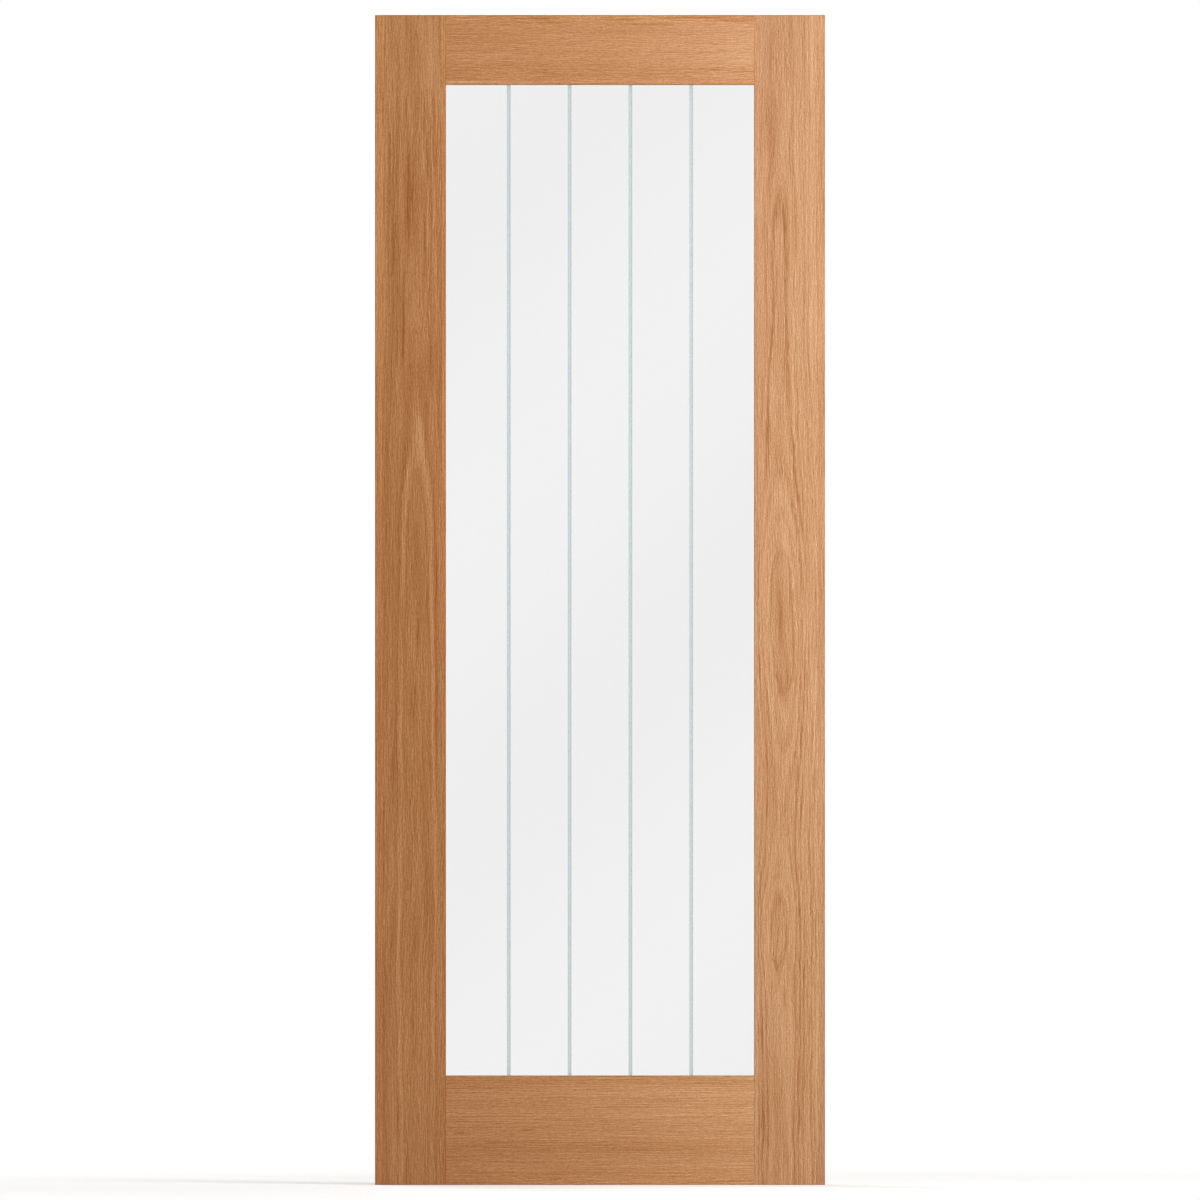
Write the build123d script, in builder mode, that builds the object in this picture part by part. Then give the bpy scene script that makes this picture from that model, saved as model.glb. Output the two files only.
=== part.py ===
from build123d import *
import os

# Glazed interior door leaf: two stiles and two rails round one tall pane of glass.
# Each stile and rail is a timber core with a veneer on both faces and a solid lipping on both long edges.
# The glass lies in a rebate that is cut from the back, between two layers of tape, and mitred beads hold it.
#
# Millimetres. X runs across the leaf from its hinge edge, Y from the front face to the back, Z up.
# The origin is on the hinge edge, at the bottom, midway through the thickness.

# The leaf
door_width = 762.0
door_height = 1981.0
door_thickness = 35.0

# Its members
stile_width = 120.0
top_rail_height = 118.0
bottom_rail_height = 185.0

# Facings of the members
veneer_thickness = 0.6
edge_lipping_width = 12.0  # round the outside of the leaf
sight_lipping_width = 7.0  # round the glass
edge_arris_radius = 1.5  # on the upright outer edges
sight_arris = 0.8  # eased edge round the glass, at 45 degrees

# Glazing
rebate_width = 10.0  # how far the rebate reaches behind the sight line
glass_thickness = 4.0
glass_edge_gap = 2.0  # between the glass and the bottom of the rebate
tape_thickness = 1.0
tape_setback = 1.0  # behind the sight line

# Frosted lines, V-cut in the front of the glass
line_count = 4
line_pitch = 103.0
line_width = 6.2
line_depth = 0.6

# Places worked out from these
half_thickness = door_thickness / 2
core_thickness = door_thickness - 2 * veneer_thickness
veneer_middle = half_thickness - veneer_thickness / 2
sight_left = stile_width
sight_bottom = bottom_rail_height
sight_width = door_width - 2 * stile_width
sight_height = door_height - top_rail_height - bottom_rail_height
sight_top = sight_bottom + sight_height
sight_centre = (door_width / 2, sight_bottom + sight_height / 2)
bed = glass_thickness / 2 + tape_thickness  # from the middle of the glass to the lip and to the beads
glass_bite = rebate_width - glass_edge_gap
glass_width = sight_width + 2 * glass_bite
glass_height = sight_height + 2 * glass_bite
tape_width = glass_bite - tape_setback

front_face = Plane.XZ.offset(half_thickness)
back_face = Plane.XZ.offset(-half_thickness)
leaf_middle = Plane.YZ.offset(door_width / 2)
glass_middle = Plane.XZ


def save(piece, label):
    # Names a finished piece and writes it as its own file.
    piece.part.label = label
    export_step(piece.part, f"parts/{label}.step")


def save_pair(piece, label):
    # Writes a piece of the left side and its mirror image on the right side.
    with BuildPart() as twin:
        mirror(piece.part, about=leaf_middle)
    save(piece, f"left_{label}")
    save(twin, f"right_{label}")


os.makedirs("parts", exist_ok=True)

# Cutter for the glazing rebate, from the back face down to the lip that the glass beds against
with BuildPart() as rebate:
    with BuildSketch(back_face):
        with Locations(sight_centre):
            Rectangle(sight_width + 2 * rebate_width, sight_height + 2 * rebate_width)
    extrude(amount=half_thickness + bed)

# Cutters that ease the edge round the glass, in front and at the back, with mitred corners
with BuildPart() as front_arris:
    with BuildSketch(front_face):
        with Locations(sight_centre):
            Rectangle(sight_width + 2 * sight_arris, sight_height + 2 * sight_arris)
    with BuildSketch(front_face.offset(-sight_arris)):
        with Locations(sight_centre):
            Rectangle(sight_width, sight_height)
    loft()

with BuildPart() as back_arris:
    mirror(front_arris.part, about=glass_middle)


# Stiles: each section is drawn for the left one, across X, and run up the whole height
stile_core_width = stile_width - edge_lipping_width - sight_lipping_width
stile_core_middle = edge_lipping_width + stile_core_width / 2

with BuildPart() as stile_core:
    with BuildSketch():
        with Locations((stile_core_middle, 0)):
            Rectangle(stile_core_width, core_thickness)
    extrude(amount=door_height)
    add(rebate.part, mode=Mode.SUBTRACT)
save_pair(stile_core, "stile_core")

with BuildPart() as stile_front_veneer:
    with BuildSketch():
        with Locations((stile_core_middle, -veneer_middle)):
            Rectangle(stile_core_width, veneer_thickness)
    extrude(amount=door_height)
save_pair(stile_front_veneer, "stile_front_veneer")

with BuildPart() as stile_back_veneer:
    with BuildSketch():
        with Locations((stile_core_middle, veneer_middle)):
            Rectangle(stile_core_width, veneer_thickness)
    extrude(amount=door_height)
    add(rebate.part, mode=Mode.SUBTRACT)
save_pair(stile_back_veneer, "stile_back_veneer")

with BuildPart() as stile_edge_lipping:
    with BuildSketch() as section:
        with Locations((edge_lipping_width / 2, 0)):
            Rectangle(edge_lipping_width, door_thickness)
        fillet(section.vertices().group_by(Axis.X)[0], edge_arris_radius)
    extrude(amount=door_height)
save_pair(stile_edge_lipping, "stile_edge_lipping")

with BuildPart() as stile_sight_lipping:
    with BuildSketch():
        with Locations((stile_width - sight_lipping_width / 2, 0)):
            Rectangle(sight_lipping_width, door_thickness)
    extrude(amount=door_height)
    add(rebate.part, mode=Mode.SUBTRACT)
    add(front_arris.part, mode=Mode.SUBTRACT)
save_pair(stile_sight_lipping, "stile_sight_lipping")


# Rails: each section is drawn across Y and Z at the left stile and run to the right one
rail_end = Plane.YZ.offset(sight_left)


def build_rail(side, edge, inward, height):
    # edge is the height of the rail's outer edge; inward is +1 where the glass is above it and -1 where it is below.
    core_height = height - edge_lipping_width - sight_lipping_width
    core_middle = edge + inward * (edge_lipping_width + core_height / 2)
    edge_lipping_middle = edge + inward * edge_lipping_width / 2
    sight_lipping_middle = edge + inward * (height - sight_lipping_width / 2)

    with BuildPart() as core:
        with BuildSketch(rail_end):
            with Locations((0, core_middle)):
                Rectangle(core_thickness, core_height)
        extrude(amount=sight_width)
        add(rebate.part, mode=Mode.SUBTRACT)
    save(core, f"{side}_rail_core")

    with BuildPart() as front_veneer:
        with BuildSketch(rail_end):
            with Locations((-veneer_middle, core_middle)):
                Rectangle(veneer_thickness, core_height)
        extrude(amount=sight_width)
    save(front_veneer, f"{side}_rail_front_veneer")

    with BuildPart() as back_veneer:
        with BuildSketch(rail_end):
            with Locations((veneer_middle, core_middle)):
                Rectangle(veneer_thickness, core_height)
        extrude(amount=sight_width)
        add(rebate.part, mode=Mode.SUBTRACT)
    save(back_veneer, f"{side}_rail_back_veneer")

    with BuildPart() as edge_lipping:
        with BuildSketch(rail_end):
            with Locations((0, edge_lipping_middle)):
                Rectangle(door_thickness, edge_lipping_width)
        extrude(amount=sight_width)
    save(edge_lipping, f"{side}_rail_edge_lipping")

    with BuildPart() as sight_lipping:
        with BuildSketch(rail_end):
            with Locations((0, sight_lipping_middle)):
                Rectangle(door_thickness, sight_lipping_width)
        extrude(amount=sight_width)
        add(rebate.part, mode=Mode.SUBTRACT)
        add(front_arris.part, mode=Mode.SUBTRACT)
    save(sight_lipping, f"{side}_rail_sight_lipping")


build_rail("top", door_height, -1, top_rail_height)
build_rail("bottom", 0, 1, bottom_rail_height)


# Glass, with a row of V-cut lines down its front face
with BuildPart() as glass_pane:
    with BuildSketch(glass_middle):
        with Locations(sight_centre):
            Rectangle(glass_width, glass_height)
    extrude(amount=glass_thickness / 2, both=True)
    with BuildSketch(Plane.XY.offset(sight_bottom - glass_bite)):
        with Locations((door_width / 2, -glass_thickness / 2)):
            with GridLocations(line_pitch, line_pitch, line_count, 1):
                Polygon((-line_width / 2, 0), (line_width / 2, 0), (0, line_depth), align=None)
    extrude(amount=glass_height, mode=Mode.SUBTRACT)
save(glass_pane, "glass_pane")


# Glazing tape: the side strips run the height of the glass, and the others lie between them
tape_inset = tape_setback + tape_width / 2  # from the sight line to the middle of a strip


def build_tape(face, plane):
    # plane is the glass face that the strips lie on, with its normal away from the glass.
    with BuildPart() as side_tape:
        with BuildSketch(plane):
            with Locations((sight_left - tape_inset, sight_centre[1])):
                Rectangle(tape_width, glass_height)
        extrude(amount=tape_thickness)
    save_pair(side_tape, f"{face}_tape")

    for side, middle in (("top", sight_top + tape_inset), ("bottom", sight_bottom - tape_inset)):
        with BuildPart() as end_tape:
            with BuildSketch(plane):
                with Locations((sight_centre[0], middle)):
                    Rectangle(sight_width + 2 * tape_setback, tape_width)
            extrude(amount=tape_thickness)
        save(end_tape, f"{side}_{face}_tape")


build_tape("front", Plane.XZ.offset(glass_thickness / 2))
build_tape("back", Plane.XZ.offset(-bed))


# Glazing beads: four strips flush with the back face, mitred at the corners
def build_bead(sight_length, middle, turn):
    # turn is the angle that puts the long side of the strip against the rebate.
    with BuildPart() as bead:
        with BuildSketch(back_face):
            with Locations(middle):
                Trapezoid(sight_length + 2 * rebate_width, rebate_width, 45, rotation=turn)
        extrude(amount=half_thickness - bed)
        add(back_arris.part, mode=Mode.SUBTRACT)
    return bead


save_pair(build_bead(sight_height, (sight_left - rebate_width / 2, sight_centre[1]), -90), "glazing_bead")
save(build_bead(sight_width, (sight_centre[0], sight_top + rebate_width / 2), 180), "top_glazing_bead")
save(build_bead(sight_width, (sight_centre[0], sight_bottom - rebate_width / 2), 0), "bottom_glazing_bead")
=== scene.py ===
import math
import bmesh
import bpy
import numpy as np
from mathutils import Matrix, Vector


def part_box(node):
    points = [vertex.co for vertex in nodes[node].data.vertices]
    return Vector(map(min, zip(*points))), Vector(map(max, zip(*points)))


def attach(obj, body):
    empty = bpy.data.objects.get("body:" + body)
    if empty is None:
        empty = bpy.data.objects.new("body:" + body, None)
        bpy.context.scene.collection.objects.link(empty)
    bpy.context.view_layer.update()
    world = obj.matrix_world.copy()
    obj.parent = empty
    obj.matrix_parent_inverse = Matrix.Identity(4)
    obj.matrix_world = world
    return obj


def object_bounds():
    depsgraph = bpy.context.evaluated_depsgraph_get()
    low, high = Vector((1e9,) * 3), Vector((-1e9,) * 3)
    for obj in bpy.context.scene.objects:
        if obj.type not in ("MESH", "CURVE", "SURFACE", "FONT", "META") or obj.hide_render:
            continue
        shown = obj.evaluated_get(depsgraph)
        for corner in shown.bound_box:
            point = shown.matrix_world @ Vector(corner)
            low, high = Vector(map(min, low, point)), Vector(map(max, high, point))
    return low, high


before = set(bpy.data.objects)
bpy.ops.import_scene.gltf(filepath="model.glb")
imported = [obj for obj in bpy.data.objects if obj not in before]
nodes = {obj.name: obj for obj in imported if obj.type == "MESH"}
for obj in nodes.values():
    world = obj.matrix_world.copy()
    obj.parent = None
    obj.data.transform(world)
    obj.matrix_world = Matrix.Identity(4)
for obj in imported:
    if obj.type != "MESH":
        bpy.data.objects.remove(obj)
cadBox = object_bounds()
leafLow, leafHigh = cadBox
leafMiddle = (leafLow + leafHigh) / 2
print("frame loaded,", len(nodes), "pieces")


# Small helpers for shader nodes

def srgb(red, green, blue):
    # screen values from 0 to 255, turned to linear light by the sRGB curve
    screen = np.array([red, green, blue]) / 255
    linear = np.where(screen <= 0.04045, screen / 12.92, ((screen + 0.055) / 1.055) ** 2.4)
    return (*linear.tolist(), 1.0)


def feed(tree, node, inputs):
    # sockets are linked, and plain values are set on the node's own sockets
    for key, value in inputs.items():
        if isinstance(value, bpy.types.NodeSocket):
            tree.links.new(value, node.inputs[key])
        else:
            node.inputs[key].default_value = value


def addNode(tree, kind, inputs=None, **settings):
    node = tree.nodes.new(kind)
    for key, value in settings.items():
        setattr(node, key, value)
    feed(tree, node, inputs or {})
    return node


def calc(tree, operation, *values):
    return addNode(tree, "ShaderNodeMath", dict(enumerate(values)), operation=operation).outputs[0]


def vectorCalc(tree, operation, *values):
    return addNode(tree, "ShaderNodeVectorMath", dict(enumerate(values)), operation=operation).outputs


def objectPlace(tree):
    return addNode(tree, "ShaderNodeTexCoord").outputs["Object"]


def split(tree, vector):
    return addNode(tree, "ShaderNodeSeparateXYZ", {0: vector}).outputs


def joined(tree, *values):
    return addNode(tree, "ShaderNodeCombineXYZ", dict(enumerate(values))).outputs[0]


def weighted(tree, start, *terms):
    # start plus the sum of each term times its weight
    total = start
    for socket, weight in terms:
        total = calc(tree, "MULTIPLY_ADD", socket, weight, total)
    return total


def longSide(tree, one, other):
    # square root of the sum of two squares
    squares = (calc(tree, "MULTIPLY", side, side) for side in (one, other))
    return calc(tree, "SQRT", calc(tree, "ADD", *squares))


def centred(tree, noise):
    return calc(tree, "SUBTRACT", noise, 0.5)


def cloud(tree, vector, size, detail=2.0, rough=0.5, seed=0.0):
    # noise from 0 to 1 with cells of the given size in metres along each axis
    placed = addNode(tree, "ShaderNodeMapping", {
        "Vector": vector, "Location": (seed, 2 * seed, 3 * seed), "Scale": tuple(1 / s for s in size)})
    return addNode(tree, "ShaderNodeTexNoise", {
        "Vector": placed.outputs[0], "Scale": 1.0, "Detail": detail, "Roughness": rough}).outputs[0]


def wander(tree, value, length, detail=1.0, seed=0.0):
    # one-dimensional noise from -1 to 1 along a value, with swings of about the given length
    noise = addNode(tree, "ShaderNodeTexNoise", {
        "W": calc(tree, "MULTIPLY_ADD", value, 1 / length, seed), "Scale": 1.0, "Detail": detail},
        noise_dimensions="1D")
    return calc(tree, "MULTIPLY_ADD", noise.outputs[0], 2.0, -1.0)


def between(tree, value, low, high):
    # 0 below low, 1 above high and a smooth step from one to the other
    return addNode(tree, "ShaderNodeMapRange", {
        "Value": value, "From Min": low, "From Max": high}, interpolation_type="SMOOTHSTEP").outputs[0]


def fadeOut(tree, value, low, high):
    # 1 below low, 0 above high
    return calc(tree, "SUBTRACT", 1.0, between(tree, value, low, high))


def softLine(tree, away, halfWidth, solid=0.3):
    # 1 in the solid share of a line's half width, fading to 0 at its half width
    return fadeOut(tree, away, solid * halfWidth, halfWidth)


def ramp(tree, value, stops):
    node = addNode(tree, "ShaderNodeValToRGB", {"Fac": value})
    points = node.color_ramp.elements
    while len(points) < len(stops):
        points.new(0.5)
    for point, (position, colour) in zip(points, stops):
        point.position = position
        point.color = colour
    return node.outputs[0]


def throughPoints(tree, value, points):
    # a smooth curve through given points, each a place and a height
    places, heights = np.array(points).T
    low, span = places[0], np.ptp(places)
    base, rise = heights.min(), max(np.ptp(heights), 1e-6)
    share = calc(tree, "MULTIPLY_ADD", value, 1 / span, -low / span)
    node = addNode(tree, "ShaderNodeFloatCurve", {"Value": share})
    spots = np.stack([(places - low) / span, (heights - base) / rise], axis=-1).tolist()
    line = node.mapping.curves[0].points
    line[0].location = spots[0]
    line[-1].location = spots[-1]
    for spot in spots[1:-1]:
        line.new(*spot)
    for point in line:
        point.handle_type = "AUTO_CLAMPED"
    node.mapping.update()
    return calc(tree, "MULTIPLY_ADD", node.outputs[0], rise, base)


def bump(tree, height, strength, distance):
    return addNode(tree, "ShaderNodeBump", {
        "Height": height, "Strength": strength, "Distance": distance}).outputs[0]


def emptyTree(holder, output):
    # the cleared shader tree of a material or world, and the node that its surface goes to
    holder.use_nodes = True
    tree = holder.node_tree
    tree.nodes.clear()
    return tree, addNode(tree, output)


def newFinish(name):
    material = bpy.data.materials.new(name)
    tree, out = emptyTree(material, "ShaderNodeOutputMaterial")
    shader = addNode(tree, "ShaderNodeBsdfPrincipled")
    feed(tree, out, {"Surface": shader.outputs[0]})
    return material, tree, shader


# Oak: growth rings round a heart line behind the face, so that a face cut near the heart shows arches.
# Ring number = square root of (across - heart)^2 + (depth to the heart)^2, both counted in ring widths.
# The depth to the heart follows a curve along the board, and an arch has its tip where the curve meets
# its ring number. A cell is the width and length of one patch of noise, in metres.

oak = {
    "axes": (0, 1, 2),  # across the grain, through the leaf, along the grain
    "face": 0,  # the face that the figure is set on: 0 in front, 1 at the back
    "seed": 0.0,
    # tone
    "tone": (186, 129, 80),  # screen values of the middle tone, and how far streaks go from it
    "spread": (38, 45, 50),
    "run": 0.0,  # painted light and shade: change of tone along the board, by the metre, paler towards the key lamp's side, and the place where it is nothing
    "runFrom": 0.0,
    "paintedSheenRun": (0.0, 0.0, 0.0),  # painted sheen: change of red, green and blue along the board, by the metre, whiter towards the key lamp's side
    "broad": 0.45,  # slow changes of tone
    "broadCell": (0.030, 0.34),
    # drift of the grain to the side
    "drift": 0.006,
    "driftCell": (0.022, 0.09),
    "slowDrift": 3.0,  # slow drift over quick drift
    "slowCell": (0.10, 0.45),
    # growth rings
    "heartAcross": 0.060,
    "heartDepth": ((0.0, 11.0), (2.0, 11.0)),  # rings between that face and the heart: place along, rings
    "heartSway": 0.004,
    "swayLength": 0.50,
    "ringWidth": 0.0050,
    "feather": 0.7,  # how far the fibres drag the rings' edges, in rings
    "wobble": 1.0,  # how far slow noise pushes the rings about, in rings
    "wobbleCell": (0.022, 0.16),
    "ripple": 0.0,  # the same for quick noise
    "rippleCell": (0.005, 0.030),
    "ring": 0.42,  # how dark the rings are
    "ringRun": 0.0,  # change of that along the board, by the metre
    "ringMean": 0.12,  # taken off, so that the rings leave the middle tone as it is
    "ringRise": 3.0,  # power that a ring darkens with
    "ringEnd": 0.88,  # share of a ring where it starts to turn pale again
    "ringMix": (0.7, 0.5),  # strength of all rings alike, and how much it changes from ring to ring
    "ringMixLength": 1.7,  # in rings
    "patchCell": (0.014, 0.18),  # patches with rings and without, and the noise where they start and are full
    "patchRange": (0.22, 0.60),
    "ringTones": (),  # single rings: number, half width in rings, and how dark, or pale below nothing
    "ringToneMix": (0.20, 0.80),  # strength of these everywhere, and in the patches
    "band": 0.16,  # tone of several rings together
    "bandWidth": 5.0,  # in rings
    # streaks, fibres and pores
    "streak": 0.50,
    "streakWidth": 0.24,  # in rings
    "streakCell": (0.02, 0.16),  # through the leaf and along the grain
    "fibre": 0.25,
    "fibreWidth": 0.0009,
    "fibreLength": 0.055,
    "fibreRange": 0.14,  # noise that gives a full fibre
    "lineGap": 0.0017,
    "speck": 0.22,
    "speckLength": 0.012,
    "grit": 0.42,
    "gritCell": (0.0013, 0.0030),
    "pore": 0.16,
    "poreCell": (0.0006, 0.014),
    "poreRange": (0.60, 0.72),
    "poreInRing": 0.16,  # how much thicker they stand in the dark part of a ring
    "poreDepth": 0.00006,
    # marks
    "marks": (),  # streaks: across, along, half width, half length, and how dark, or pale below nothing
    "markFade": (0.1, 1.2),  # shares of a mark's size between which it fades
    "markFray": (0.9, 2.0),  # how far fibres and streaks break its outline
    "markMix": (0.9, 0.8),  # its strength, and how much that changes with the fibres
    "markDepth": (0.006, 0.012),  # depths below the face between which it ends
    # edges: dark joint lines, and painted shade along the arrises
    "edge": 0.40,  # dark line along the joints, and painted shade along the outer arrises and the sight edges, and how wide it is
    "edgeWidth": 0.0011,
    "edgeDepth": (0.0008, 0.0020),  # depths below the face between which the line ends
    "mitre": 0.0,  # dark line at the mitred corners, if the piece has them
    # lacquer
    "rough": 0.42,
    "roughMix": (0.16, 0.10),  # how much rougher in pores and streaks
    "relief": (-1.0, -0.4, -0.25),  # of pores, rings and fibres, as shares of the pore depth
    "reliefStrength": 0.6,
    "specular": 0.40,
    "coat": 0.10,
    "coatRough": 0.32,
}

alongRail = (2, 1, 0)  # axes of a board that lies across the leaf

leftStileOak = dict(
    oak, seed=3.1, tone=(172, 114, 62), runFrom=1.0, broad=0.35,
    ring=0.25, ringRun=0.55, feather=0.9, ripple=0.25, heartAcross=0.0711,
    heartDepth=((0.0, 6.9), (0.31, 6.5), (0.43, 6.0), (0.55, 6.4), (0.92, 6.75), (1.12, 7.3),
                (1.253, 8.5), (1.314, 9.0), (1.40, 9.6), (1.981, 10.3)),
    ringTones=((8.6, 0.55, -0.25), (9.40, 0.40, 0.16)),
    streak=0.29, streakWidth=0.42, fibre=0.22, lineGap=0.0020, speck=0.18, grit=0.38,
    marks=((0.060, 1.950, 0.200, 0.320, -0.24), (0.0610, 1.925, 0.0220, 0.130, 0.34),
           (0.0728, 1.925, 0.0022, 0.055, 0.22), (0.0572, 1.690, 0.0034, 0.105, 0.34),
           (0.0640, 1.685, 0.0150, 0.110, 0.34), (0.0850, 1.600, 0.0022, 0.100, 0.46),
           (0.0496, 1.425, 0.0024, 0.120, 0.56), (0.0400, 1.440, 0.0200, 0.130, 0.12),
           (0.0930, 1.385, 0.0080, 0.055, 0.44), (0.1060, 1.030, 0.0020, 0.045, 0.55),
           (0.0670, 0.420, 0.0090, 0.065, 0.26), (0.1045, 0.820, 0.0022, 0.150, 0.22),
           (0.0400, 0.120, 0.0028, 0.060, 0.46), (0.0717, 0.935, 0.0024, 0.036, 0.34),
           (0.0640, 0.825, 0.0090, 0.050, 0.22), (0.0321, 0.690, 0.0030, 0.080, 0.32),
           (0.0300, 0.420, 0.0034, 0.090, 0.26)),
    edge=0.60, edgeWidth=0.0014)
# the right stile's colour run is painted sheen: it turns whiter towards the top
rightStileOak = dict(
    oak, seed=7.7, tone=(189, 138, 95), runFrom=1.0, paintedSheenRun=(-0.029, -0.016, 0.046), broad=0.30,
    ring=0.56, ringRun=-0.30, feather=1.0, ripple=0.30, heartAcross=0.6875,
    heartDepth=((0.0, 7.6), (0.305, 7.4), (0.373, 7.0), (0.423, 6.4), (0.488, 7.0), (0.549, 8.0),
                (0.660, 8.6), (0.730, 8.0), (0.821, 7.0), (0.965, 6.0), (1.085, 7.0), (1.173, 8.3),
                (1.248, 9.0), (1.339, 9.3), (1.558, 9.5), (1.640, 9.7), (1.692, 10.0), (1.753, 10.3),
                (1.981, 10.4)),
    ringTones=((9.95, 0.14, 0.22), (10.95, 0.16, 0.18), (8.92, 0.14, 0.18)),
    streak=0.24, streakWidth=0.28, fibreLength=0.075, lineGap=0.0019,
    marks=((0.668, 1.810, 0.007, 0.045, 0.18), (0.6890, 0.970, 0.0085, 0.100, 0.20),
           (0.6870, 0.955, 0.0034, 0.070, 0.18), (0.6960, 0.860, 0.0040, 0.050, 0.22),
           (0.6840, 0.845, 0.0035, 0.022, 0.26), (0.6950, 0.318, 0.0036, 0.022, 0.30),
           (0.6840, 0.432, 0.0050, 0.060, 0.14), (0.6720, 0.150, 0.0260, 0.130, 0.14),
           (0.667, 0.068, 0.0015, 0.006, 0.40), (0.6720, 1.340, 0.0130, 0.070, -0.20),
           (0.7400, 0.870, 0.0160, 0.150, -0.17), (0.7050, 1.900, 0.0900, 0.250, 0.05)),
    edge=0.55, edgeWidth=0.0013)
leftStileBackOak = dict(
    leftStileOak, face=1, seed=53.1, ring=0.44, ringRun=0.0, heartAcross=0.0560,
    heartDepth=((0.0, 8.6), (0.30, 7.6), (0.46, 6.2), (0.62, 7.8), (0.95, 9.2), (1.20, 8.0), (1.34, 6.4),
                (1.50, 8.2), (1.981, 9.6)),
    ringTones=((7.95, 0.16, 0.18), (8.95, 0.16, 0.20), (9.95, 0.16, 0.16)),
    marks=((0.0560, 0.460, 0.0050, 0.055, 0.24), (0.0560, 1.340, 0.0060, 0.060, 0.22),
           (0.0920, 0.800, 0.0022, 0.090, 0.34), (0.0300, 1.620, 0.0024, 0.110, 0.34)))
rightStileBackOak = dict(
    rightStileOak, face=1, seed=57.7, ring=0.62, ringRun=0.0, heartAcross=0.7010,
    heartDepth=((0.0, 9.2), (0.35, 8.0), (0.60, 6.4), (0.78, 7.8), (1.00, 9.0), (1.25, 9.6), (1.50, 8.4),
                (1.66, 6.6), (1.80, 8.2), (1.981, 9.2)),
    ringTones=((7.95, 0.14, 0.18), (8.92, 0.14, 0.20), (9.95, 0.14, 0.20)),
    marks=((0.7010, 0.600, 0.0060, 0.070, 0.22), (0.7010, 1.660, 0.0050, 0.050, 0.22),
           (0.6640, 1.180, 0.0024, 0.120, 0.30), (0.7320, 0.280, 0.0022, 0.090, 0.30)))
# the top rail's tone and colour runs are painted light and sheen: paler and whiter to the right, towards the
# key lamp, on the back as well
topRailOak = dict(
    oak, axes=alongRail, seed=12.4, tone=(187, 131, 82), run=-0.30, runFrom=0.25, paintedSheenRun=(-0.06, 0.02, 0.25),
    broad=0.12, drift=0.0020, ringWidth=0.0030, ring=0.20, band=0.08, wobble=0.6, feather=0.5,
    heartAcross=1.879, heartSway=0.001,
    heartDepth=((0.120, 4.4), (0.165, 4.2), (0.185, 3.0), (0.211, 2.0), (0.240, 3.0), (0.262, 4.2),
                (0.350, 5.0), (0.500, 4.6), (0.560, 4.1), (0.585, 3.4), (0.606, 4.1), (0.642, 4.3)),
    streak=0.10, streakWidth=0.40, fibre=0.13, fibreLength=0.040, lineGap=0.0018, speck=0.18, grit=0.36,
    marks=((1.966, 0.470, 0.0020, 0.060, 0.40), (1.968, 0.300, 0.0020, 0.025, 0.40),
           (1.8880, 0.288, 0.0026, 0.006, 0.34), (1.8900, 0.577, 0.0030, 0.013, 0.30),
           (1.8905, 0.624, 0.0026, 0.005, 0.26), (1.9000, 0.165, 0.0250, 0.070, -0.08),
           (1.9570, 0.430, 0.0110, 0.070, 0.11), (1.8920, 0.390, 0.0160, 0.110, 0.07),
           (1.9200, 0.630, 0.0500, 0.070, -0.06)))
topRailBackOak = dict(
    topRailOak, face=1, seed=62.4, marks=(), heartAcross=1.942,
    heartDepth=((0.120, 5.0), (0.300, 4.4), (0.410, 3.0), (0.520, 4.4), (0.642, 4.9)))
# the bottom rail's run is painted light: it is paler to the right, towards the key lamp, on the back as well
bottomRailOak = dict(
    oak, axes=alongRail, seed=17.9, tone=(189, 133, 84), run=-0.55, runFrom=0.36, broad=0.20, drift=0.0020,
    ring=0.10, band=0.10, heartAcross=-0.30, heartDepth=((0.0, 60.0), (0.762, 60.0)),
    streak=0.24, streakWidth=0.30, fibre=0.20, fibreLength=0.11, lineGap=0.0019, speck=0.14,
    marks=((0.0930, 0.258, 0.0016, 0.012, 0.40), (0.0970, 0.264, 0.0014, 0.010, 0.30),
           (0.0886, 0.146, 0.0022, 0.010, 0.34), (0.0725, 0.215, 0.0016, 0.024, 0.34),
           (0.0700, 0.400, 0.0340, 0.420, 0.09), (0.1450, 0.330, 0.0340, 0.300, -0.05)))
bottomRailBackOak = dict(bottomRailOak, face=1, seed=67.9, marks=())

# lippings are cut far from the heart, so that their grain is straight
straightOak = dict(
    oak, heartAcross=-0.400, heartDepth=((0.0, 38.0), (2.0, 38.0)), ringWidth=0.0026, ring=0.24, band=0.10,
    drift=0.002)
straightRailOak = dict(straightOak, axes=alongRail, heartAcross=-0.600)
# the left stile's and bottom rail's lippings have a run of painted light: paler towards the key lamp
lippings = {
    "left_stile": dict(straightOak, seed=23.3, tone=(180, 120, 65), run=-0.12, runFrom=1.05),
    "right_stile": dict(straightOak, seed=28.8, tone=(190, 138, 94)),
    "top_rail": dict(
        straightRailOak, seed=33.4, tone=(190, 133, 83), edge=0.58, edgeWidth=0.0013,
        marks=((1.9760, 0.285, 0.0020, 0.028, 0.50), (1.9745, 0.420, 0.0018, 0.050, 0.50),
               (1.9770, 0.545, 0.0020, 0.070, 0.50), (1.9720, 0.600, 0.0018, 0.040, 0.40))),
    "bottom_rail": dict(straightRailOak, seed=38.9, tone=(189, 132, 82), run=-0.45, runFrom=0.36),
}
# round each bead: a dark joint line and dark mitres, with painted shade along its arris at the opening
beadJointAndArrisShade = {"edge": 0.75, "edgeWidth": 0.0017, "mitre": 0.75, "marks": ()}

# the sight opening, from the beads round it
sightLow, sightHigh = (Vector((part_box("left_glazing_bead")[1].x, 0.0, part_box("bottom_glazing_bead")[1].z)),
                       Vector((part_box("right_glazing_bead")[0].x, 0.0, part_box("top_glazing_bead")[0].z)))


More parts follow.
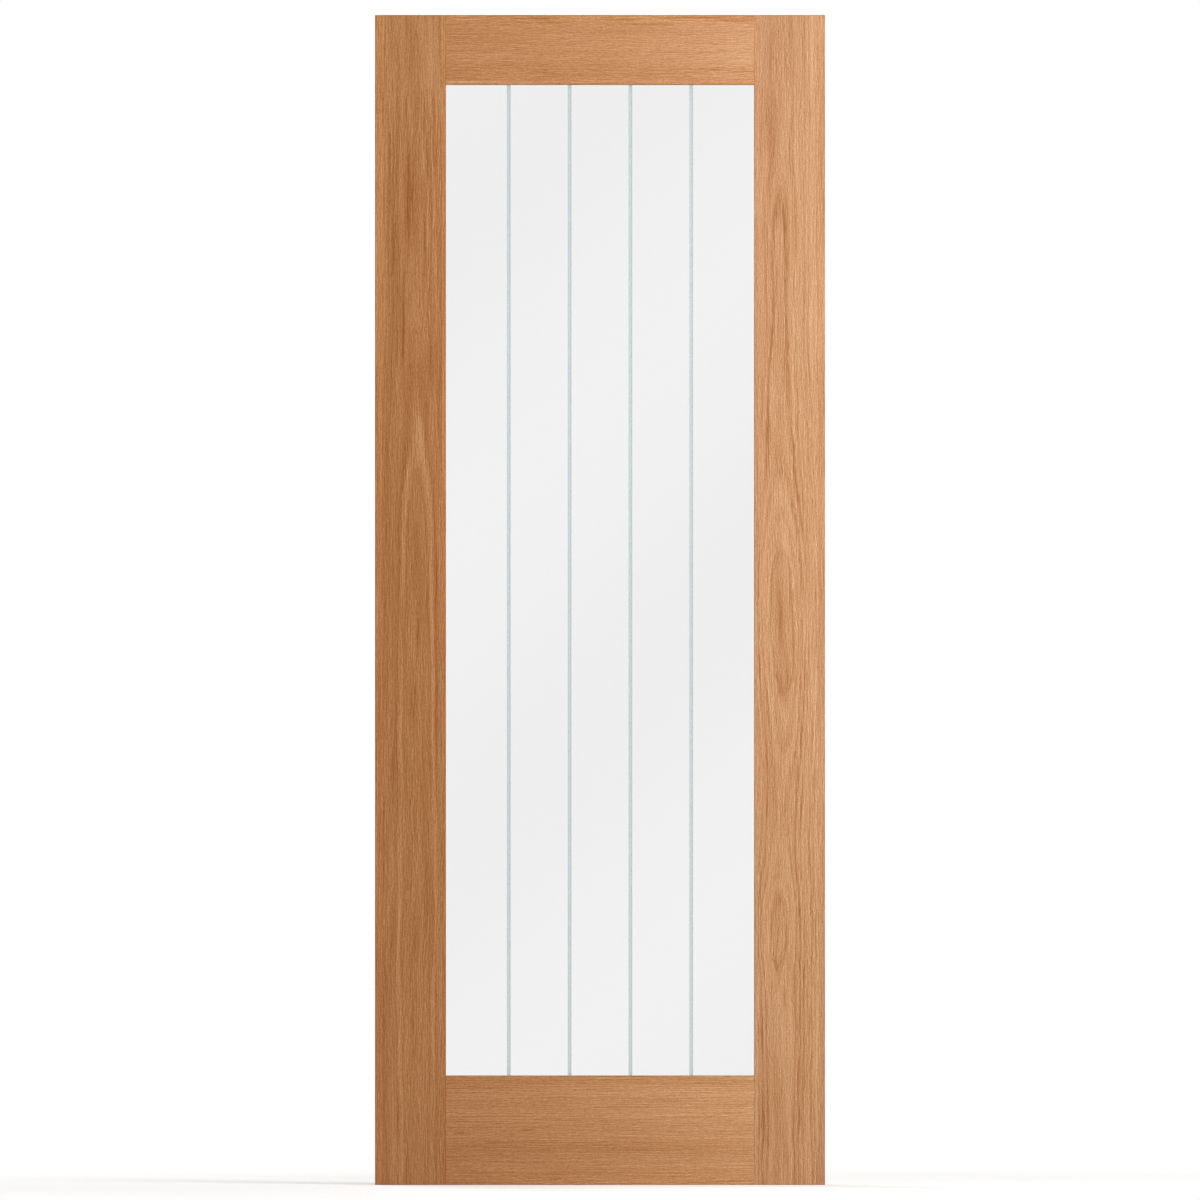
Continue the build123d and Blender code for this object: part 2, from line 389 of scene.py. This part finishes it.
def grainCloud(tree, vector, cell, detail, seed):
    # noise with cells as thick as they are wide
    width, length = cell
    return cloud(tree, vector, (width, width, length), detail, seed=seed)


def fineLines(tree, vector, cell, gap, seed):
    # noise less the same noise a gap to one side, which leaves lines about the gap wide and no broad patches
    aside = vectorCalc(tree, "ADD", vector, (gap, 0.0, 0.0))[0]
    here, there = (grainCloud(tree, place, cell, 1.0, seed) for place in (vector, aside))
    return calc(tree, "SUBTRACT", here, there)


def fromCentre(tree, vector, across, along, halfWidth, halfLength):
    # 0 at the centre of an ellipse and 1 on its edge
    offset = addNode(tree, "ShaderNodeMapping", {
        "Vector": vector, "Location": (-across / halfWidth, 0.0, -along / halfLength),
        "Scale": (1 / halfWidth, 0.0, 1 / halfLength)}).outputs[0]
    return vectorCalc(tree, "LENGTH", offset)["Value"]


def fromFace(tree, value, low, high):
    # how far a value lies inside the stretch from low to high
    away = calc(tree, "ABSOLUTE", calc(tree, "SUBTRACT", value, (low + high) / 2))
    return calc(tree, "SUBTRACT", (high - low) / 2, away)


def mitreLine(tree, parts, width):
    # 1 on the lines that run out of the pane's corners at 45 degrees, where a point is as far beyond
    # its sides as beyond its top or bottom
    inside = [fromFace(tree, parts[axis], sightLow[axis], sightHigh[axis]) for axis in (0, 2)]
    aside = calc(tree, "ABSOLUTE", calc(tree, "SUBTRACT", *inside))
    return fadeOut(tree, aside, 0.5 * width, 1.5 * width)


def oakBoard(tree, look, low, high):
    # places on a board: its grain drifts sideways, and every layer follows the drift
    parts = split(tree, objectPlace(tree))
    across, depth, along = (parts[axis] for axis in look["axes"])
    plain = joined(tree, across, depth, along)
    slow = centred(tree, grainCloud(tree, plain, look["slowCell"], 1.0, look["seed"]))
    quick = centred(tree, grainCloud(tree, plain, look["driftCell"], 2.0, look["seed"] + 1))
    bent = weighted(tree, across, (slow, look["drift"] * look["slowDrift"]), (quick, look["drift"]))
    face = (low, high)[look["face"]][1]
    return {
        "parts": parts, "bent": bent, "depth": depth, "along": along,
        "grain": joined(tree, bent, depth, along),
        "deep": calc(tree, "ABSOLUTE", calc(tree, "SUBTRACT", depth, face)),  # below the face with the figure
        "onward": calc(tree, "SUBTRACT", along, look["runFrom"])}


def oakFibres(tree, look, grain):
    # fine lines as they are, then fibres, specks, grit and slow changes of tone, each about nothing
    seed, width, full = look["seed"], look["fibreWidth"], look["fibreRange"]
    fray = fineLines(tree, grain, (width, look["fibreLength"]), look["lineGap"], seed + 3)
    flecks = fineLines(tree, grain, (width, look["speckLength"]), look["lineGap"], seed + 4)
    fibre, speck = (centred(tree, between(tree, lines, -full, full)) for lines in (fray, flecks))
    grit = centred(tree, grainCloud(tree, grain, look["gritCell"], 0.0, seed + 5))
    broad = centred(tree, grainCloud(tree, grain, look["broadCell"], 2.0, seed + 6))
    return fray, fibre, speck, grit, broad


def oakLayers(tree, look, board):
    # ring numbers, pushed about by slow and quick noise
    seed, perRing = look["seed"], 1 / look["ringWidth"]
    inward = weighted(tree, throughPoints(tree, board["along"], look["heartDepth"]), (board["deep"], perRing))
    sway = wander(tree, board["along"], look["swayLength"], 1.0, seed + 5)
    fromHeart = calc(tree, "SUBTRACT", board["bent"], look["heartAcross"])
    offset = weighted(tree, fromHeart, (sway, look["heartSway"]))
    radius = longSide(tree, inward, calc(tree, "MULTIPLY", offset, perRing))
    wobble = centred(tree, grainCloud(tree, board["grain"], look["wobbleCell"], 1.0, seed + 8))
    ripple = centred(tree, grainCloud(tree, board["grain"], look["rippleCell"], 1.0, seed + 10))
    return weighted(tree, radius, (wobble, look["wobble"]), (ripple, look["ripple"]))


def ringStart(tree, look, rings):
    # a ring darkens by a power of the way across it and turns pale again at its end
    part = calc(tree, "FRACT", rings)
    rise = calc(tree, "POWER", part, look["ringRise"])
    return calc(tree, "MULTIPLY", rise, fadeOut(tree, part, look["ringEnd"], 1.0))


def addRingTones(tree, look, value, rings, strength):
    for number, halfWidth, darker in look["ringTones"]:
        away = calc(tree, "ABSOLUTE", calc(tree, "SUBTRACT", rings, number))
        line = calc(tree, "MULTIPLY", softLine(tree, away, halfWidth), strength)
        value = weighted(tree, value, (line, darker))
    return value


def addMarks(tree, look, value, board, fibre, streak):
    # ellipses with frayed outlines, close to the face that has the figure
    byFibre, byStreak = look["markFray"]
    strength, change = look["markMix"]
    nearFace = fadeOut(tree, board["deep"], *look["markDepth"])
    body = calc(tree, "MULTIPLY", weighted(tree, strength, (fibre, change)), nearFace)
    for across, along, halfWidth, halfLength, darker in look["marks"]:
        away = fromCentre(tree, board["grain"], across, along, halfWidth, halfLength)
        frayed = weighted(tree, away, (fibre, byFibre), (streak, byStreak))
        mark = calc(tree, "MULTIPLY", fadeOut(tree, frayed, *look["markFade"]), body)
        value = weighted(tree, value, (mark, darker))
    return value


def addJointLinesAndArrisShade(tree, look, value, board, low, high):
    # a dark line on the faces only: dark joint lines, and painted shade along the outer arrises and sight
    # edges
    parts, width = board["parts"], look["edgeWidth"]
    inside = calc(tree, "MINIMUM", *(fromFace(tree, parts[axis], low[axis], high[axis]) for axis in (0, 2)))
    atFace = fadeOut(tree, fromFace(tree, board["depth"], low[1], high[1]), *look["edgeDepth"])
    rim = calc(tree, "MULTIPLY", softLine(tree, inside, width), atFace)
    value = weighted(tree, value, (rim, look["edge"]))
    if look["mitre"]:
        value = weighted(tree, value, (mitreLine(tree, parts, width), look["mitre"]))
    return value


def oakFinish(name, look, low, high):
    material, tree, shader = newFinish(name)
    seed = look["seed"]
    board = oakBoard(tree, look, low, high)
    grain, onward = board["grain"], board["onward"]
    fray, fibre, speck, grit, broad = oakFibres(tree, look, grain)

    # growth rings, with edges dragged along the fibres
    layers = oakLayers(tree, look, board)
    rings = weighted(tree, layers, (fray, look["feather"]))
    early = ringStart(tree, look, rings)
    patch = between(tree, grainCloud(tree, grain, look["patchCell"], 1.0, seed + 9), *look["patchRange"])
    fade = calc(tree, "MULTIPLY_ADD", onward, look["ringRun"], 1.0)
    alike, change = look["ringMix"]
    strength = weighted(tree, alike, (wander(tree, rings, look["ringMixLength"], 0.0, seed), change))
    shown = calc(tree, "MULTIPLY", patch, fade)
    ring = calc(tree, "MULTIPLY", calc(tree, "MULTIPLY", early, strength), shown)
    band = wander(tree, rings, look["bandWidth"], 1.0, seed + 2)

    # long streaks that follow the rings, and pores that are thickest where a ring starts
    ringSpace = joined(tree, layers, board["depth"], board["along"])
    streakSize = (look["streakWidth"], *look["streakCell"])
    streak = centred(tree, cloud(tree, ringSpace, streakSize, detail=1.0, seed=seed + 2))
    pits = grainCloud(tree, grain, look["poreCell"], 1.0, seed + 7)
    pore = between(tree, weighted(tree, pits, (early, look["poreInRing"])), *look["poreRange"])

    # tone: 0 is palest, 0.5 the middle and 1 darkest
    # the run term is painted light and shade: tone that grows paler towards the key lamp
    value = weighted(
        tree, 0.5, (calc(tree, "SUBTRACT", ring, look["ringMean"]), look["ring"]), (band, look["band"]),
        (streak, look["streak"]), (fibre, look["fibre"]), (speck, look["speck"]), (grit, look["grit"]),
        (broad, look["broad"]), (pore, look["pore"]), (onward, look["run"]))
    everywhere, inPatch = look["ringToneMix"]
    toneStrength = calc(tree, "MULTIPLY", weighted(tree, everywhere, (patch, inPatch)), fade)
    value = addRingTones(tree, look, value, rings, toneStrength)
    value = addMarks(tree, look, value, board, fibre, streak)
    # dark joint lines, and painted shade along the outer arrises and the sight edges
    value = addJointLinesAndArrisShade(tree, look, value, board, low, high)
    tone, spread = np.array(look["tone"]), np.array(look["spread"])
    colour = ramp(tree, value, (
        (0.0, srgb(*(tone + spread))), (0.5, srgb(*tone)), (1.0, srgb(*(tone - spread)))))
    # painted sheen: the colour turns whiter along the board, towards the key lamp
    paintedSheenTint = vectorCalc(tree, "MULTIPLY_ADD", onward, look["paintedSheenRun"], (1.0, 1.0, 1.0))[0]

    inPore, inStreak = look["roughMix"]
    height = weighted(tree, 0.0, *zip((pore, ring, fibre), look["relief"]))
    feed(tree, shader, {
        "Base Color": vectorCalc(tree, "MULTIPLY", colour, paintedSheenTint)[0],
        "Roughness": weighted(tree, look["rough"], (pore, inPore), (streak, inStreak)),
        "Normal": bump(tree, height, look["reliefStrength"], look["poreDepth"]),
        "Specular IOR Level": look["specular"],
        "Coat Weight": look["coat"],
        "Coat Roughness": look["coatRough"]})
    return material


# Core: glued softwood staves, sawn across at the ends of the stiles.
# Ring number = distance from the stave's own heart over the ring width. The heart lies well below or above
# the stave, so that its end shows arcs.

core = {
    "stave": 0.0252, "glueWidth": 0.0007, "glueSolid": 0.4,
    "pale": srgb(222, 186, 140), "dark": srgb(158, 110, 66), "glue": srgb(128, 90, 58),
    "ringWidth": 0.0035, "ringRise": 3.0, "wobble": 0.8, "wobbleSize": (0.01, 0.01, 0.12),
    "heartBelow": 0.03, "heartReach": 0.05,  # how deep the hearts lie, and how far they go from there
    "leanLength": 0.37, "tiltLength": 0.61,  # in staves, so that each one has its own heart
    "speckSize": (0.0008, 0.0008, 0.004),
    "start": 0.12, "ring": 0.8, "lean": 0.25, "speck": 0.5,  # tone, and what rings, staves and specks change
    "rough": 0.68, "roughSpeck": 0.15,
    "relief": (0.6, 0.5), "reliefStrength": 0.7, "reliefDepth": 0.0001,  # of rings and specks
}


def coreFinish(name, look):
    material, tree, shader = newFinish(name)
    place = objectPlace(tree)
    x, y = split(tree, place)[:2]
    count = calc(tree, "MULTIPLY", x, 1 / look["stave"])
    stave = calc(tree, "FLOOR", count)
    inStave = calc(tree, "MULTIPLY", centred(tree, calc(tree, "FRACT", count)), look["stave"])
    lean = wander(tree, stave, look["leanLength"], detail=0.0, seed=4.0)
    tilt = wander(tree, stave, look["tiltLength"], detail=0.0, seed=9.0)
    heartX = weighted(tree, inStave, (lean, look["heartReach"]))
    heartY = calc(tree, "ADD", y, weighted(tree, look["heartBelow"], (tilt, look["heartReach"])))
    radius = longSide(tree, heartX, heartY)
    wobble = centred(tree, cloud(tree, place, look["wobbleSize"]))
    rings = weighted(tree, calc(tree, "MULTIPLY", radius, 1 / look["ringWidth"]), (wobble, look["wobble"]))
    late = calc(tree, "POWER", calc(tree, "FRACT", rings), look["ringRise"])
    speck = cloud(tree, place, look["speckSize"], rough=0.6, seed=2.0)
    value = weighted(tree, look["start"], (late, look["ring"]), (lean, look["lean"]),
                     (centred(tree, speck), look["speck"]))
    wood = ramp(tree, value, ((0.0, look["pale"]), (1.0, look["dark"])))
    fromJoint = calc(tree, "PINGPONG", x, look["stave"] / 2)
    line = softLine(tree, fromJoint, look["glueWidth"], look["glueSolid"])
    colour = addNode(tree, "ShaderNodeMix", {"Factor": line, "A": wood, "B": look["glue"]}, data_type="RGBA")
    height = weighted(tree, 0.0, *zip((late, speck), look["relief"]))
    feed(tree, shader, {
        "Base Color": colour.outputs["Result"],
        "Roughness": weighted(tree, look["rough"], (speck, look["roughSpeck"])),
        "Normal": bump(tree, height, look["reliefStrength"], look["reliefDepth"])})
    return material


# Clear toughened glass that lets lamps through, with faint slanting bands of painted reflection in its tint.
# Band = cosine of the distance along a slanting line, over the band length.

glass = {
    # pale and dull tints: the paler bands are a painted reflection
    "pale": (0.880, 0.880, 0.880, 1.0), "dull": (0.850, 0.850, 0.850, 1.0),
    "shadowTint": (0.93, 0.945, 0.94, 1.0), "index": 1.5,
    "slant": (0.664, 0.0, -0.748), "reflectionBandLength": 0.796, "reflectionBandMiddle": -0.745,
}


def glassFinish(name, look):
    material = bpy.data.materials.new(name)
    tree, out = emptyTree(material, "ShaderNodeOutputMaterial")
    # painted reflection: the tint turns paler along slanting bands
    distance = vectorCalc(tree, "DOT_PRODUCT", objectPlace(tree), look["slant"])["Value"]
    turn = 2 * math.pi / look["reflectionBandLength"]
    band = calc(tree, "COSINE", calc(tree, "MULTIPLY_ADD", distance, turn, -turn * look["reflectionBandMiddle"]))
    share = calc(tree, "MULTIPLY_ADD", band, 0.5, 0.5)
    shader = addNode(tree, "ShaderNodeBsdfPrincipled", {
        "Base Color": ramp(tree, share, ((0.0, look["dull"]), (1.0, look["pale"]))),
        "Roughness": 0.0, "IOR": look["index"], "Transmission Weight": 1.0})
    clear = addNode(tree, "ShaderNodeBsdfTransparent", {"Color": look["shadowTint"]})
    path = addNode(tree, "ShaderNodeLightPath")
    mix = addNode(tree, "ShaderNodeMixShader", {
        0: path.outputs["Is Shadow Ray"], 1: shader.outputs[0], 2: clear.outputs[0]})
    feed(tree, out, {"Surface": mix.outputs[0]})
    return material


# Glazing tape: grey closed-cell foam

tape = {
    "pale": srgb(178, 172, 162), "dark": srgb(138, 132, 124), "paleFrom": 0.7, "cellsPerMetre": 2500.0,
    "rough": 0.8, "roughCell": 0.1, "reliefStrength": 0.6, "reliefDepth": 0.00008,
}


def tapeFinish(name, look):
    material, tree, shader = newFinish(name)
    cells = addNode(tree, "ShaderNodeTexVoronoi", {
        "Vector": objectPlace(tree), "Scale": look["cellsPerMetre"]}).outputs["Distance"]
    feed(tree, shader, {
        "Base Color": ramp(tree, cells, ((0.0, look["dark"]), (look["paleFrom"], look["pale"]))),
        "Roughness": weighted(tree, look["rough"], (cells, look["roughCell"])),
        "Normal": bump(tree, cells, look["reliefStrength"], look["reliefDepth"])})
    return material


def dress(material, *names):
    for name in names:
        slots = nodes[name].data.materials
        slots.clear()
        slots.append(material)


members = {"left_stile": (leftStileOak, leftStileBackOak), "right_stile": (rightStileOak, rightStileBackOak),
           "top_rail": (topRailOak, topRailBackOak), "bottom_rail": (bottomRailOak, bottomRailBackOak)}
beadSeedStep = 50  # sets the grain of a bead apart from that of the lipping beside it
for member, (frontLook, backLook) in members.items():
    facing = (member + "_front_veneer", member + "_back_veneer")
    edging = (member + "_edge_lipping", member + "_sight_lipping")
    bead = member.split("_")[0] + "_glazing_bead"
    corners = np.array([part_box(name) for name in (*facing, *edging, bead)])
    low, high = corners[:, 0].min(axis=0).tolist(), corners[:, 1].max(axis=0).tolist()
    dress(oakFinish(member + "_front_oak", frontLook, low, high), facing[0])
    dress(oakFinish(member + "_back_oak", backLook, low, high), facing[1])
    dress(oakFinish(member + "_lipping_oak", lippings[member], low, high), *edging)
    beadLook = dict(lippings[member], seed=lippings[member]["seed"] + beadSeedStep, **beadJointAndArrisShade)
    dress(oakFinish(bead + "_oak", beadLook, *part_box(bead)), bead)
dress(coreFinish("core_staves", core), *(member + "_core" for member in members))
dress(glassFinish("pane_glass", glass), "glass_pane")
dress(tapeFinish("foam_tape", tape), *(name for name in nodes if name.endswith("_tape")))
print("finishes on", len(nodes), "pieces")


# New pieces, worked out as whole arrays

def surfaceMesh(name, points, faces, material):
    # points is an array of places and faces an array of point numbers
    # doubles are merged and faces turned outwards
    mesh = bpy.data.meshes.new(name)
    mesh.from_pydata(points.reshape(-1, 3).tolist(), [], faces.tolist())
    shape = bmesh.new()
    shape.from_mesh(mesh)
    bmesh.ops.remove_doubles(shape, verts=shape.verts, dist=1e-7)
    bmesh.ops.dissolve_degenerate(shape, edges=shape.edges, dist=1e-8)
    bmesh.ops.recalc_face_normals(shape, faces=shape.faces)
    shape.to_mesh(mesh)
    shape.free()
    mesh.materials.append(material)
    piece = bpy.data.objects.new(name, mesh)
    bpy.context.scene.collection.objects.link(piece)
    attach(piece, "root")
    return piece


def gridFaces(rows, columns, start=0):
    # quads between neighbours on a grid whose columns run round
    row, column = np.meshgrid(np.arange(rows - 1), np.arange(columns), indexing="ij")
    after = (column + 1) % columns
    quads = np.stack([row * columns + column, row * columns + after, (row + 1) * columns + after,
                      (row + 1) * columns + column], axis=-1)
    return quads.reshape(-1, 4) + start


# Frosted lines: a V film that lines each cut in the glass, with a ground surface that scatters light.
# Its section is the two slopes of the cut and the same slopes a film's thickness nearer the front,
# carried up the glass.

film = {
    "thickness": 0.00005, "lift": 0.00002,
    # the darker rim colour is painted shade of the cut's steep slopes
    "middle": srgb(176, 200, 202), "rim": srgb(146, 172, 174), "cover": 0.33,
    "rimFrom": 0.3,  # share of the half width where the rim, painted shade of the cut's slopes, starts
    "toneStops": (0.1, 0.9),
    "gritSize": (0.0006, 0.0006, 0.0009), "grit": 0.10, "sweepSize": (0.004, 0.004, 0.20), "sweep": 0.08,
    "rough": 0.6, "roughGrit": 0.2, "reliefStrength": 0.15, "reliefDepth": 0.00005, "specular": 0.3,
}

# the cuts, from the pane's own points: those on neither face are the bottoms of the cuts
digits = 5  # places on the pane are told apart to a hundredth of a millimetre
glassLow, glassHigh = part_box("glass_pane")
glassPoints = np.array([v.co for v in nodes["glass_pane"].data.vertices])
fromFaces = np.minimum(abs(glassPoints[:, 1] - glassLow.y), abs(glassPoints[:, 1] - glassHigh.y))
onFace = fromFaces < 10 ** -digits
valleys = np.unique(np.round(glassPoints[~onFace, 0], digits))
valleyDepth = glassPoints[~onFace, 1].mean() - glassLow.y
rims = np.unique(np.round(glassPoints[onFace, 0], digits))
halfLine = np.abs(rims[:, None] - valleys[None, :]).min()


def frostFinish(name, look):
    material, tree, shader = newFinish(name)
    place = objectPlace(tree)
    grit = cloud(tree, place, look["gritSize"], rough=0.6)
    sweep = cloud(tree, place, look["sweepSize"], seed=3.0)
    # how far a point is from the middle of its line, as the lines stand a pitch apart
    pitch = float(valleys[1] - valleys[0])
    fromFirst = calc(tree, "SUBTRACT", split(tree, place)[0], float(valleys[0]))
    aside = calc(tree, "PINGPONG", fromFirst, pitch / 2)
    # painted shade: the colour darkens towards the rim of each line
    value = weighted(tree, between(tree, aside, look["rimFrom"] * float(halfLine), float(halfLine)),
                     (centred(tree, grit), look["grit"]), (centred(tree, sweep), look["sweep"]))
    feed(tree, shader, {
        "Base Color": ramp(tree, value, tuple(zip(look["toneStops"], (look["middle"], look["rim"])))),
        "Alpha": look["cover"],
        "Roughness": weighted(tree, look["rough"], (grit, look["roughGrit"])),
        "Normal": bump(tree, grit, look["reliefStrength"], look["reliefDepth"]),
        "Specular IOR Level": look["specular"]})
    return material


def frostedLines():
    slope = np.array([-1.0, 0.0, 1.0])
    depth = (1 - np.abs(slope)) * valleyDepth - film["lift"]
    section = np.stack([np.concatenate([slope, slope[::-1]]) * halfLine,
                        glassLow.y + np.concatenate([depth, depth[::-1] - film["thickness"]])], axis=-1)
    corners = len(section)
    heights = np.array([glassLow.z, glassHigh.z])
    line, level, corner = np.meshgrid(valleys, heights, np.arange(corners), indexing="ij")
    points = np.stack([line + section[corner, 0], section[corner, 1], level], axis=-1)
    starts = np.arange(len(valleys)) * len(heights) * corners
    sides = np.concatenate([gridFaces(len(heights), corners, start) for start in starts])
    # each end is two quads, one for each slope
    lowEnd = np.array([[0, 1, 4, 5], [1, 2, 3, 4]])
    ends = np.concatenate([lowEnd, lowEnd + corners])
    caps = (ends[None] + starts[:, None, None]).reshape(-1, 4)
    return surfaceMesh("frosted_lines", points, np.concatenate([sides, caps]),
                       frostFinish("frosted_cut", film))


frostedLines()
print("frosted lines:", len(valleys), "of half width", round(float(halfLine), digits))


# Pins through the glazing beads: each dull steel head is a low dome, turned from a profile of radius
# and height

pins = {
    "spacing": 0.165, "endGap": 0.045, "radius": 0.0009, "rise": 0.00025, "seat": 0.0002, "round": 12,
    "dome": ((0.0, 1.0), (0.45, 0.9), (0.80, 0.55), (1.0, 0.0)),  # shares of the radius and of the rise
    "pale": srgb(176, 172, 165), "dark": srgb(120, 114, 106), "toneStops": (0.3, 0.7),
    "scuffSize": (0.0004, 0.0004, 0.0004), "rough": 0.30, "roughScuff": 0.25,
}


def pinFinish(name, look):
    material, tree, shader = newFinish(name)
    scuff = cloud(tree, objectPlace(tree), look["scuffSize"], detail=3.0, rough=0.6)
    feed(tree, shader, {
        "Base Color": ramp(tree, scuff, tuple(zip(look["toneStops"], (look["dark"], look["pale"])))),
        "Roughness": weighted(tree, look["rough"], (scuff, look["roughScuff"])),
        "Metallic": 1.0})
    return material


def pinPlaces():
    found = []
    for side in ("left", "right", "top", "bottom"):
        low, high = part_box(side + "_glazing_bead")
        middle = (low + high) / 2
        axis = 2 if side in ("left", "right") else 0
        length = high[axis] - low[axis] - 2 * pins["endGap"]
        count = int(round(length / pins["spacing"])) + 1
        run = np.linspace(low[axis] + pins["endGap"], high[axis] - pins["endGap"], count)
        places = np.tile(np.array([middle.x, high.y, middle.z]), (count, 1))
        places[:, axis] = run
        found.append(places)
    return np.concatenate(found)


def beadPins():
    places = pinPlaces()
    # profile: the dome above the wood, then the seat below it
    share, lift = np.array(pins["dome"]).T
    share = np.concatenate([share, [1.0, 0.0]])
    lift = np.concatenate([lift * pins["rise"], [-pins["seat"], -pins["seat"]]])
    angle = np.arange(pins["round"]) * 2 * math.pi / pins["round"]
    ringX = share[:, None] * pins["radius"] * np.cos(angle)
    ringZ = share[:, None] * pins["radius"] * np.sin(angle)
    head = np.stack([ringX, np.broadcast_to(lift[:, None], ringX.shape), ringZ], axis=-1)
    points = places[:, None, None, :] + head[None]
    starts = np.arange(len(places)) * head.shape[0] * head.shape[1]
    faces = np.concatenate([gridFaces(len(share), pins["round"], start) for start in starts])
    surfaceMesh("bead_pins", points, faces, pinFinish("pin_steel", pins))
    return len(places)


print("bead pins:", beadPins())


# Stage: a pale floor that fades to white, soft boxes, a white surround and the camera

floorLook = {"half": 9.0, "paint": (0.80, 0.80, 0.80, 1.0), "glow": 0.20, "fadeFrom": 0.6, "fadeTo": 1.6}


def pathShare(tree):
    # 1 for rays from the camera, mirrors and glass, and 0 for rays that light the object
    path = addNode(tree, "ShaderNodeLightPath")
    both = calc(tree, "MAXIMUM", path.outputs["Is Camera Ray"], path.outputs["Is Glossy Ray"])
    return calc(tree, "MAXIMUM", both, path.outputs["Is Transmission Ray"])


def floorFinish(name, look):
    material = bpy.data.materials.new(name)
    tree, out = emptyTree(material, "ShaderNodeOutputMaterial")
    paint = addNode(tree, "ShaderNodeBsdfDiffuse", {"Color": look["paint"]})
    # the floor turns pure white away from the door, so that it has no edge against the surround
    foot = (leafMiddle.x, leafMiddle.y, leafLow.z)
    away = vectorCalc(tree, "DISTANCE", objectPlace(tree), foot)["Value"]
    fade = between(tree, away, look["fadeFrom"], look["fadeTo"])
    seen = pathShare(tree)
    glow = addNode(tree, "ShaderNodeEmission", {"Strength": calc(tree, "MULTIPLY", seen, look["glow"])})
    white = addNode(tree, "ShaderNodeEmission", {"Strength": 1.0})
    total = addNode(tree, "ShaderNodeAddShader", {0: paint.outputs[0], 1: glow.outputs[0]})
    mix = addNode(tree, "ShaderNodeMixShader", {
        0: calc(tree, "MULTIPLY", seen, fade), 1: total.outputs[0], 2: white.outputs[0]})
    feed(tree, out, {"Surface": mix.outputs[0]})
    return material


def addFloor():
    side = np.array([-1.0, 1.0]) * floorLook["half"]
    x, y = np.meshgrid(side + leafMiddle.x, side)
    points = np.stack([x, y, np.full_like(x, leafLow.z)], axis=-1).reshape(-1, 3)
    mesh = bpy.data.meshes.new("floor")
    mesh.from_pydata(points.tolist(), [], [[0, 1, 3, 2]])
    mesh.materials.append(floorFinish("pale_floor", floorLook))
    floor = bpy.data.objects.new("floor", mesh)
    bpy.context.scene.collection.objects.link(floor)


surround = {"ambient": 0.36, "seen": 1.0, "white": (1.0, 1.0, 1.0, 1.0)}


def addSurround():
    world = bpy.data.worlds.new("white_surround")
    tree, out = emptyTree(world, "ShaderNodeOutputWorld")
    light, seen = (addNode(tree, "ShaderNodeBackground", {
        "Color": surround["white"], "Strength": surround[level]}) for level in ("ambient", "seen"))
    mix = addNode(tree, "ShaderNodeMixShader", {0: pathShare(tree), 1: light.outputs[0], 2: seen.outputs[0]})
    feed(tree, out, {"Surface": mix.outputs[0]})
    bpy.context.scene.world = world


softBoxes = {
    "key": {"place": (2.2, -1.8, 2.0), "size": (1.2, 1.6), "power": 64, "colour": (1.0, 0.99, 0.97)},
    "fill": {"place": (-2.4, -3.0, 1.6), "size": (1.6, 2.0), "power": 5, "colour": (1.0, 0.95, 0.88)},
    "rear": {"place": (-1.6, 2.6, 2.2), "size": (1.6, 1.8), "power": 60, "colour": (1.0, 0.98, 0.96)},
    "top": {"place": (0.381, 0.0, 4.2), "size": (1.6, 1.2), "power": 20, "colour": (1.0, 0.99, 0.97)},
}


def addSoftBoxes():
    for name, look in softBoxes.items():
        lamp = bpy.data.lights.new(name + "_box", "AREA")
        lamp.shape = "RECTANGLE"
        lamp.size, lamp.size_y = look["size"]
        lamp.energy = look["power"]
        lamp.color = look["colour"]
        box = bpy.data.objects.new(name + "_box", lamp)
        box.location = look["place"]
        box.rotation_euler = (leafMiddle - Vector(look["place"])).to_track_quat("-Z", "Y").to_euler()
        # the boxes light the door but stay out of the glass
        box.visible_camera = box.visible_glossy = box.visible_transmission = False
        bpy.context.scene.collection.objects.link(box)


cameraLook = {"lens": 900.0, "sensor": 36.0, "reach": 100.0,
              "frameWidth": 2.032}  # metres across at the front face


def addCamera():
    data = bpy.data.cameras.new("camera")
    data.lens = cameraLook["lens"]
    data.sensor_width = cameraLook["sensor"]
    data.clip_end = cameraLook["reach"]
    camera = bpy.data.objects.new("camera", data)
    distance = cameraLook["frameWidth"] * cameraLook["lens"] / cameraLook["sensor"]
    camera.location = (leafMiddle.x, leafLow.y - distance, leafMiddle.z)
    camera.rotation_euler = (math.pi / 2, 0.0, 0.0)
    bpy.context.scene.collection.objects.link(camera)
    bpy.context.scene.camera = camera


addFloor()
addSurround()
addSoftBoxes()
addCamera()
bpy.context.scene.view_settings.view_transform = "Standard"
print("stage, light and camera set")
